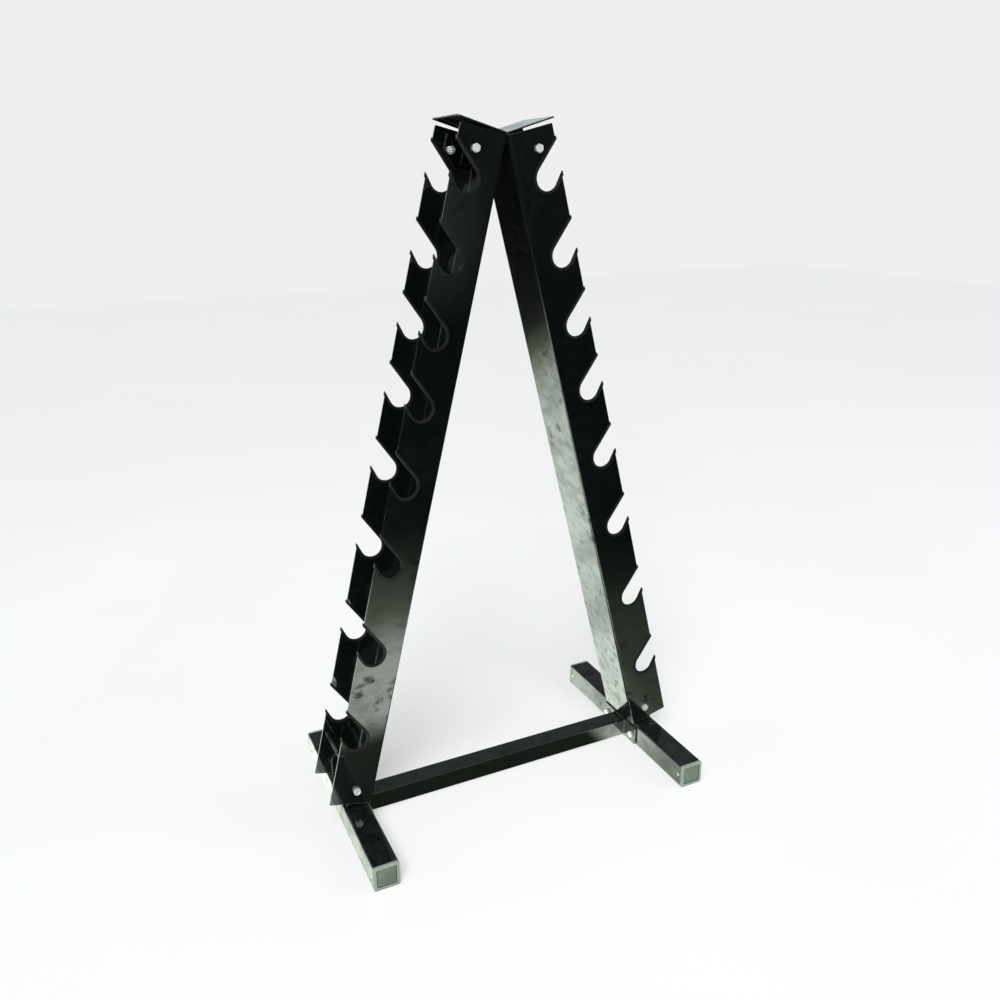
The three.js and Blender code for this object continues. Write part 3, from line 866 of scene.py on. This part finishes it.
def draw_bracket(node, bolt_node):
    low_x, high_x = span(node, 0)
    low_z, high_z = span(node, 2)
    ear = span(node, 1)[1]
    hole = middle(bolt_node)
    arc = []
    for i in range(7):
        angle = i / 6 * math.pi / 2
        arc.append((ear - STRAP_BEND * (1 - math.cos(angle)),
                    low_z + STRAP_BEND * (1 - math.sin(angle))))
    path = [(-y, z) for y, z in arc] + [(y, z) for y, z in reversed(arc)]
    form = bmesh.new()
    add_strip(form, [[(low_x, y, z), (high_x, y, z)] for y, z in path])
    radius = (high_x - low_x) / 2
    outline = [(low_x, low_z + STRAP_BEND), (high_x, low_z + STRAP_BEND)]
    outline += [(hole.x + radius * math.cos(math.pi * i / 24),
                 high_z - radius + radius * math.sin(math.pi * i / 24))
                for i in range(25)]
    for y in (-ear, ear):
        add_plate(form, outline, [ring(hole.x, hole.z, BOLT_HOLE / 2)],
                  lambda a, b, y=y: (a, y, b))
    bmesh.ops.remove_doubles(form, verts=form.verts, dist=0.001)
    bmesh.ops.recalc_face_normals(form, faces=form.faces)
    bottom = min(form.faces, key=lambda f: f.calc_center_median().z)
    if bottom.normal.z > 0:
        bmesh.ops.reverse_faces(form, faces=form.faces)
    return form


for side, _ in SIDES:
    node = f"{side}_base_bracket"
    bracket = solid(f"{side}_bent_bracket", draw_bracket(node, f"{side}_base_nut"),
                    STRAP, 0.5)
    fix(bracket, paint, "black_paint", node)
print("bracket faces:", len(bracket.data.polygons))

# %% [markdown]
# ## Straps and tie plate
# Under the tabs each upright holds a bent strap, whose ears lie inside the flanges and
# take the top bolts. One flat plate passes through both webs and both straps and ties
# the two sides together. From straight in front and from behind, the plate can be seen
# in the narrow wedge between the webs, just under the tabs. The ears and the nuts can be
# seen from the open side of each channel.

# %% Bend the top straps
TIE = 3.0
TIE_TOP = 6.0
TIE_LOW = 62.0
TIE_OUT = 63.0
TIE_BEND = 4.0
STRIP_CLEAR = STRIP_BAND + STRIP_PROUD
GAP = 0.3


def draw_top_strap(side_face):
    """A small channel inside the upright, its ears cut off beside the top notch."""
    form = bmesh.new()
    back = SHEET + GAP
    inner = side_face - TIE_BEND
    bend = []
    for i in range(FOLD_STEPS + 1):
        angle = i / FOLD_STEPS * math.pi / 2
        bend.append((back + TIE_BEND * (1 - math.sin(angle)),
                     inner + TIE_BEND * math.cos(angle)))
    around = [(out, -y) for out, y in bend] + [(out, y) for out, y in reversed(bend)]
    add_strip(form, [[skin_point(along, out, y) for out, y in around]
                     for along in (TIE_TOP, TIE_LOW)])
    entry_along = notch_line(RUBBER_WALL, TIE_OUT)[0][0]
    cut_from = NOTCHES[0] + entry_along - STRIP_CLEAR / math.sin(ENTRY)
    low_out = TIE_OUT - (TIE_LOW - cut_from) * math.tan(ENTRY)
    ear = [(TIE_TOP, back + TIE_BEND), (TIE_TOP, TIE_OUT - 2), (TIE_TOP + 2, TIE_OUT),
           (cut_from, TIE_OUT), (TIE_LOW, low_out), (TIE_LOW, back + TIE_BEND)]
    centre = middle("right_front_top_nut")
    along, out = unleaned(centre.x, centre.z)
    for y in (-side_face, side_face):
        add_plate(form, ear, [ring(along, out, BOLT_HOLE / 2)],
                  lambda a, b, y=y: skin_point(a, b, y))
    bmesh.ops.remove_doubles(form, verts=form.verts, dist=0.001)
    bmesh.ops.recalc_face_normals(form, faces=form.faces)
    out_way = Vector((math.cos(LEAN), 0, math.sin(LEAN)))
    web = max(form.faces, key=lambda f: abs(f.normal.dot(out_way)) * f.calc_area())
    if web.normal.dot(out_way) > 0:
        bmesh.ops.reverse_faces(form, faces=form.faces)
    return form


for side, _ in SIDES:
    node = f"{side}_top_strap"
    drawing = draw_top_strap(span(node, 1)[1])
    if side == "left":
        mirrored(drawing)
    strap = solid(f"{side}_bent_top_strap", drawing, TIE, 0.35)
    fix(strap, paint, "black_paint", node)
print("strap faces:", len(strap.data.polygons))

# %% Cut the tie plate
TIE_PLATE_EDGE = 6.0
TIE_PLATE_OUT = 40.0


def softened(outline, radius, steps=4):
    """The outline with every corner cut by a small curve."""
    soft = []
    for i, corner in enumerate(outline):
        here = Vector(corner)
        before = (Vector(outline[i - 1]) - here).normalized() * radius
        after = (Vector(outline[(i + 1) % len(outline)]) - here).normalized() * radius
        for k in range(steps + 1):
            t = k / steps
            spot = here + before * (1 - t) ** 2 + after * t ** 2
            soft.append((spot.x, spot.y))
    return soft


tie_high, tie_low = TIE_TOP + TIE_PLATE_EDGE, TIE_LOW - TIE_PLATE_EDGE
half_tie = [leaned(tie_high, TIE_PLATE_OUT), leaned(tie_low, TIE_PLATE_OUT)]
tie_outline = [(0, leaned(tie_low, 0)[1]), *reversed(half_tie),
               (0, leaned(tie_high, 0)[1]), *[(-x, z) for x, z in half_tie]]
tie_front, tie_rear = span("top_tie_plate", 1)
form = bmesh.new()
add_plate(form, softened(tie_outline, 2.5), [], lambda a, b: (a, tie_front, b))
if form.faces[:][0].normal.y > 0:
    bmesh.ops.reverse_faces(form, faces=form.faces)
tie = solid("upper_tie_plate", form, tie_rear - tie_front, 0.4)
fix(tie, paint, "black_paint", "top_tie_plate")
print("tie plate thickness, mm:", round(tie_rear - tie_front, 1))

# %% [markdown]
# ## Bolts and nuts
# A hexagon head is a hexagonal bar with its corners turned off at thirty degrees, which
# leaves the curved arches at the top of each flat. Drawing it as rings of many points
# gives those arches: on each ring the radius follows a hexagon or a circle. The thread
# is a ring after ring of points too, whose radius follows a helix.

# %% Turn a fastener
AROUND = 48
CHAMFER = math.tan(math.radians(30))


def hexagon(across):
    """Distance to the hexagon's side at each point round the ring."""
    sides = []
    for i in range(AROUND):
        angle = math.tau * i / AROUND
        off = angle % (math.pi / 3) - math.pi / 6
        sides.append(across / 2 / math.cos(off))
    return sides


def level_ring(radius, z):
    return [(radius, z)] * AROUND


def thread_rings(radius, start, end, pitch):
    """Rings from start down to end, whose radius follows a helix."""
    rings = []
    depth = 0.56 * pitch
    count = max(2, round((start - end) / 0.25))
    for k in range(count + 1):
        z = start + (end - start) * k / count
        tip = max(0.0, 1.1 - (z - end))
        ring_points = []
        for i in range(AROUND):
            phase = (z / pitch - i / AROUND) % 1
            ridge = min(1.0, 1.35 * abs(2 * phase - 1))
            cut = max(depth * (1 - ridge), tip)
            ring_points.append((radius - cut, z))
        rings.append(ring_points)
    return rings


def draw_turned(rings, seat, outward, turn=0.0, closed=False):
    """Rings of (radius, height) round an axis that leaves the seat along outward."""
    axis = Vector(outward)
    side_way = Vector((0, 0, 1))
    other = axis.cross(side_way)
    form = bmesh.new()
    made = []
    for points in rings:
        made.append([form.verts.new(
            Vector(seat) + axis * z
            + radius * (math.cos(math.tau * i / len(points) + turn) * side_way
                        + math.sin(math.tau * i / len(points) + turn) * other))
            for i, (radius, z) in enumerate(points)])
    pairs = list(zip(made, made[1:]))
    if closed:
        pairs.append((made[-1], made[0]))
    for near, far in pairs:
        for i in range(len(near)):
            form.faces.new((near[i - 1], near[i], far[i], far[i - 1]))
    if not closed:
        form.faces.new(made[0])
        form.faces.new(made[-1])
    bmesh.ops.recalc_face_normals(form, faces=form.faces)
    return form


def bolt_rings(across, head, shank, length, pitch, threaded):
    sides = hexagon(across)
    crown = 0.475 * across
    rings = [
        level_ring(0.20 * across, head - 0.22), level_ring(0.34 * across, head - 0.18),
        level_ring(crown - 0.9, head), level_ring(crown, head),
        [(r, head - (r - crown) * CHAMFER) for r in sides],
        [(r, 0.45) for r in sides],
        level_ring(crown, 0.3), level_ring(crown, 0.0), level_ring(shank / 2, 0.0),
    ]
    plain = -(length - threaded)
    rings.append(level_ring(shank / 2, plain + 0.4))
    return rings + thread_rings(shank / 2, plain, -length, pitch)


def nut_rings(across, height, bore):
    sides = hexagon(across)
    crown = 0.475 * across
    return [
        level_ring(bore / 2, 0.8), level_ring(bore / 2, height - 0.8),
        level_ring(bore / 2 + 0.8, height), level_ring(crown, height),
        [(r, height - (r - crown) * CHAMFER) for r in sides],
        [(r, (r - crown) * CHAMFER) for r in sides],
        level_ring(crown, 0.0), level_ring(bore / 2 + 0.8, 0.0),
    ]


print("points round a bolt:", AROUND)

# %% Fit the bolts and nuts
M8_ACROSS = 13.0
M8_SHANK = 8.0
M8_BORE = 8.1
M8_PITCH = 1.25
M8_HEAD = 5.3
SEAT_GAP = 0.2
TOP_THREAD = 14.0
BASE_THREAD = 26.0


def fit_bolt(side, name, facing, threaded):
    """A bolt whose head faces the given way and sits on the flange."""
    node = f"{side}_{name}_bolt"
    centre = middle(node)
    low, high = span(node, 1)
    seat = facing * HALF_DEPTH
    head = max(abs(low), abs(high)) - HALF_DEPTH if name != "base" else M8_HEAD + SEAT_GAP
    tip = low if facing > 0 else high
    drawing = draw_turned(
        bolt_rings(M8_ACROSS, head, M8_SHANK, abs(seat - tip), M8_PITCH, threaded),
        (centre.x, seat, centre.z), (0, facing, 0), 0.0015 * centre.x)
    bolt = solid(f"{node}_turned", drawing, 0, 0.18, 2, 50)
    fix(bolt, zinc, "zinc", node)


def fit_nut(side, name, outward, seat):
    node = f"{side}_{name}_nut"
    centre = middle(node)
    low, high = span(node, 1)
    height = max(abs(low - seat), abs(high - seat))
    drawing = draw_turned(nut_rings(M8_ACROSS, height, M8_BORE),
                          (centre.x, seat, centre.z), (0, outward, 0),
                          0.9 + centre.x * 0.021, closed=True)
    nut = solid(f"{node}_turned", drawing, 0, 0.18, 2, 50)
    fix(nut, zinc, "zinc", node)


for side, _ in SIDES:
    for end, facing in ENDS:
        fit_bolt(side, f"{end}_top", facing, TOP_THREAD)
        ear_face = facing * (span(f"{side}_top_strap", 1)[1] - TIE)
        fit_nut(side, f"{end}_top", -facing, ear_face)
    nut_side = 1 if middle(f"{side}_base_nut").y > 0 else -1
    fit_bolt(side, "base", -nut_side, BASE_THREAD)
    fit_nut(side, "base", nut_side, nut_side * HALF_DEPTH)
print("zinc fasteners with a node of their own: 12")

# %% [markdown]
# ## Small fixings of the base
# Each end plate is held to its foot by two bolts beside the cross tube, and each cap by
# blind rivets through the tube's walls. The frame has no node for them, so they are
# drawn only here.

# %% End plate bolts and cap rivets
RIVET_FROM_END = 13.0
RIVET_AROUND = 28
END_BOLT_LENGTH = 22.0
END_BOLT_THREAD = 8.0

for side, sign in SIDES:
    for end, facing in ENDS:
        seat = (sign * (high_x - PLATE), facing * END_BOLT_Y, cross_z)
        rings = bolt_rings(M8_ACROSS, M8_HEAD, M8_SHANK, END_BOLT_LENGTH, M8_PITCH,
                           END_BOLT_THREAD)
        drawing = draw_turned(rings, seat, (-sign, 0, 0), 0.4 + 0.5 * facing)
        bolt = solid(f"{side}_{end}_end_plate_bolt", drawing, 0, 0.15, 2, 50)
        fix(bolt, zinc, "zinc")

RIVET = ((0.9, 0.55), (1.0, 0.95), (1.5, 1.25), (2.2, 1.15), (2.8, 0.8), (3.2, 0.35),
         (3.25, 0.0), (2.0, -0.2), (2.0, -3.2))
for side, sign in SIDES:
    foot_low, foot_high = span(f"{side}_foot", 0)
    foot_mid = middle(f"{side}_foot")
    cap_face = max(abs(v) for v in span(f"{side}_front_end_cap", 1))
    for end, facing in ENDS:
        for face, wall, outward in (("outer", foot_high, 1), ("inner", foot_low, -1)):
            seat = (wall, facing * (cap_face - RIVET_FROM_END), foot_mid.z)
            rings = [[spot] * RIVET_AROUND for spot in RIVET]
            drawing = draw_turned(rings, seat, (outward, 0, 0))
            rivet = solid(f"{side}_{end}_{face}_cap_rivet", drawing, crease=60)
            fix(rivet, zinc, "zinc")
print("small fixings made: 4 bolts and 8 rivets")

# %% [markdown]
# ## Floor and light
# Black gloss has no look of its own: it shows what is round it. The camera sees a wide,
# pale floor and a pale sky. Reflections see neither. They see a glowing disc in place of
# the floor, and a dark sky with one bright band. The disc is darker in some places, which
# were chosen to suit the view from the camera, so from other sides its reflections fall
# where they may. The matt surfaces are lit by a soft sun, two soft boxes, that same sky
# and the faint glow of the pale floor. Reflections see the boxes too, but not the sun.

# %% The stage
FLOOR_HALF = 9.0
FLOOR_SINK = 0.0005
POOL_SINK = 0.0004
POOL_RADIUS = 2.1
POOL_FADES_FROM = 0.95
POOL_MIDDLE = (-0.35, 0.42, 0.0)
SHADE_DEPTH = 0.97
BESIDE_DEPTH = 0.28
RIGHT_FRONT_DEPTH = 0.88
FAR_FRONT_DEPTH = 0.66
DRIFT_DEPTH = 0.35


def plain_floor():
    form = bmesh.new()
    bmesh.ops.create_grid(form, x_segments=2, y_segments=2, size=FLOOR_HALF)
    mesh = mesh_of("studio_floor", form)
    floor = placed("studio_floor", mesh)
    floor.location.z = -FLOOR_SINK
    matt = Finish("pale_floor", Roughness=0.9, Specular_IOR_Level=0.1,
                  Emission_Color=(1, 1, 1, 1), Emission_Strength=0.42)
    cloud = matt.cloud(1.5, 2.0)
    matt.coat(Base_Color=matt.mixed(cloud, (0.50, 0.50, 0.50, 1), (0.53, 0.53, 0.53, 1)))
    mesh.materials.append(matt.material)
    floor.visible_glossy = False
    return floor


def light_pool():
    """The floor as the gloss sees it: bright near the rack, dark further off."""
    form = bmesh.new()
    bmesh.ops.create_circle(form, cap_ends=True, segments=96, radius=POOL_RADIUS)
    mesh = mesh_of("floor_light_pool", form)
    pool = placed("floor_light_pool", mesh)
    pool.location = Vector(POOL_MIDDLE) + Vector((0, 0, -POOL_SINK))
    glow = Finish("pool_of_light", Roughness=1.0, Specular_IOR_Level=0.0,
                  Base_Color=(0, 0, 0, 1), Emission_Strength=2.2)
    away = glow.node("ShaderNodeVectorMath", {"operation": "LENGTH"}, {0: glow.place()},
                     output="Value")
    across, along = (glow.split(glow.place(), axis) for axis in ("X", "Y"))
    fade = 1 - glow.step(away, POOL_FADES_FROM, POOL_RADIUS)
    # Distances are from the disc's middle. Its darker places are painted shade: under and
    # just before the rack, beside the left foot, at the right front, far in front, and in
    # cloudy patches behind the rack.
    shade = glow.step(along, -0.86, -0.72) * (1 - glow.step(along, -0.40, -0.35))
    beside = shade * (1 - glow.step(across, -0.03, 0.03))
    shade = shade * glow.step(across, -0.03, 0.03) * (1 - glow.step(across, 0.58, 0.63))
    right_front = glow.step(across, 0.42, 0.85) * (1 - glow.step(along, -0.54, -0.44))
    far_front = 1 - glow.step(along, -1.40, -1.05)
    drift = glow.step(glow.cloud(3.2, 3.0), 0.46, 0.66)
    behind = glow.step(along, -0.30, 0.0)
    fade = fade * (1 - shade * SHADE_DEPTH) * (1 - beside * BESIDE_DEPTH)
    fade = fade * (1 - right_front * RIGHT_FRONT_DEPTH) * (1 - far_front * FAR_FRONT_DEPTH)
    fade = fade * (1 - behind * drift * DRIFT_DEPTH)
    olive = glow.mixed(glow.step(fade, 0.0, 0.75), (0.76, 0.92, 0.60, 1),
                       (0.88, 1.0, 0.88, 1))
    glow.coat(Emission_Color=glow.mixed(fade, (0, 0, 0, 1), olive))
    mesh.materials.append(glow.material)
    for unseen in ("camera", "diffuse", "transmission", "volume_scatter", "shadow"):
        setattr(pool, f"visible_{unseen}", False)
    return pool


plain_floor()
light_pool()
print("floor, m across:", 2 * FLOOR_HALF)

# %% The sky of the studio
world = bpy.data.worlds.new("studio")
bpy.context.scene.world = world
world.use_nodes = True
tree = world.node_tree
background = tree.nodes["Background"]
SKY = ((0.50, 0.0), (0.53, 0.01), (0.565, 0.80), (0.65, 0.70), (0.73, 0.10), (1.0, 0.20))
GLINT = 0.15
GLINT_EDGES = (("Z", -0.15, -0.07), ("Z", 0.03, -0.01), ("X", 0.44, 0.35))
CAMERA_SKY = 0.86


def sky_node(kind, inputs, **settings):
    """A node of the sky; each input is a number, a colour or another node's output."""
    node = tree.nodes.new(kind)
    for name, value in settings.items():
        setattr(node, name, value)
    for place, value in inputs.items():
        if isinstance(value, bpy.types.NodeSocket):
            tree.links.new(value, node.inputs[place])
        else:
            node.inputs[place].default_value = value
    return node


direction = sky_node("ShaderNodeTexCoord", {}).outputs["Generated"]
heading = sky_node("ShaderNodeSeparateXYZ", {0: direction}).outputs
level = sky_node("ShaderNodeMapRange", {"From Min": -1.0, "Value": heading["Z"]})
dome = sky_node("ShaderNodeValToRGB", {"Fac": level.outputs[0]})
while len(dome.color_ramp.elements) < len(SKY):
    dome.color_ramp.elements.new(0.5)
for stop, (place, strength) in zip(dome.color_ramp.elements, SKY):
    stop.position = place
    stop.color = (strength, strength, strength, 1)

# A faint glow just under the horizon, on one side only, shows high on one upright.
glint = GLINT
for axis, none, full in GLINT_EDGES:
    reach = sky_node("ShaderNodeMapRange", {
        "From Min": none, "From Max": full, "Value": heading[axis]})
    both = sky_node("ShaderNodeMath", {0: glint, 1: reach.outputs[0]},
                    operation="MULTIPLY")
    glint = both.outputs[0]
total = sky_node("ShaderNodeMath", {0: glint, 1: dome.outputs[0]}, operation="ADD")
seen = sky_node("ShaderNodeLightPath", {}).outputs["Is Camera Ray"]
plain = sky_node("ShaderNodeMix", {0: seen, 2: total.outputs[0], 3: CAMERA_SKY})
hue = sky_node("ShaderNodeMix", {0: seen, 6: (0.86, 0.98, 1.0, 1),
                                 7: (1.0, 1.0, 0.997, 1)}, data_type="RGBA")
tree.links.new(plain.outputs[0], background.inputs["Strength"])
tree.links.new(hue.outputs[2], background.inputs["Color"])
print("sky nodes:", len(tree.nodes))

# %% Soft boxes


def soft_box(name, place, target, size, power):
    light = bpy.data.lights.new(name, "AREA")
    light.shape = "RECTANGLE"
    light.size, light.size_y = size
    light.energy = power
    box = placed(name, light)
    box.location = place
    aim = Vector(target) - Vector(place)
    box.rotation_euler = aim.to_track_quat("-Z", "Y").to_euler()
    return box


soft_box("key_box", (-2.2, -3.4, 3.2), (0, 0, 0.5), (1.6, 1.6), 75)
soft_box("fill_box", (3.4, -1.8, 3.0), (0, 0, 0.5), (2.0, 2.0), 30)
sun = bpy.data.lights.new("soft_sun", "SUN")
sun.energy = 2.3
sun.angle = math.radians(35)
sun_object = placed("soft_sun", sun)
sun_object.rotation_euler = (math.radians(28), math.radians(-22), 0)
sun_object.visible_glossy = False
print("soft boxes: 2, and one wide soft sun")

# %% [markdown]
# ## Camera
# The camera stands a little lower than the rack's top, in front and to the left, about a
# metre and three quarters from its middle, and looks down by twenty degrees.

# %% Set up the camera
CAMERA_PLACE = Vector((-0.70056, -1.49494, 1.20526))
CAMERA_TURN = math.radians(25.333)
CAMERA_DIP = math.radians(19.632)
CAMERA_ROLL = math.radians(-0.504)
SENSOR = 36.0
LENS = 32.337

forward = Vector((math.sin(CAMERA_TURN) * math.cos(CAMERA_DIP),
                  math.cos(CAMERA_TURN) * math.cos(CAMERA_DIP), -math.sin(CAMERA_DIP)))
level_right = forward.cross(Vector((0, 0, 1))).normalized()
level_up = level_right.cross(forward)
right = level_right * math.cos(CAMERA_ROLL) + level_up * math.sin(CAMERA_ROLL)
up = level_up * math.cos(CAMERA_ROLL) - level_right * math.sin(CAMERA_ROLL)
camera_data = bpy.data.cameras.new("camera")
camera_data.lens = LENS
camera_data.sensor_width = SENSOR
camera = placed("camera", camera_data)
facing_matrix = Matrix((right, up, -forward)).transposed().to_4x4()
camera.matrix_world = Matrix.Translation(CAMERA_PLACE) @ facing_matrix
bpy.context.scene.camera = camera
bpy.context.scene.view_settings.view_transform = "Standard"
print("camera, m from the middle of the base:", round(CAMERA_PLACE.length, 2))
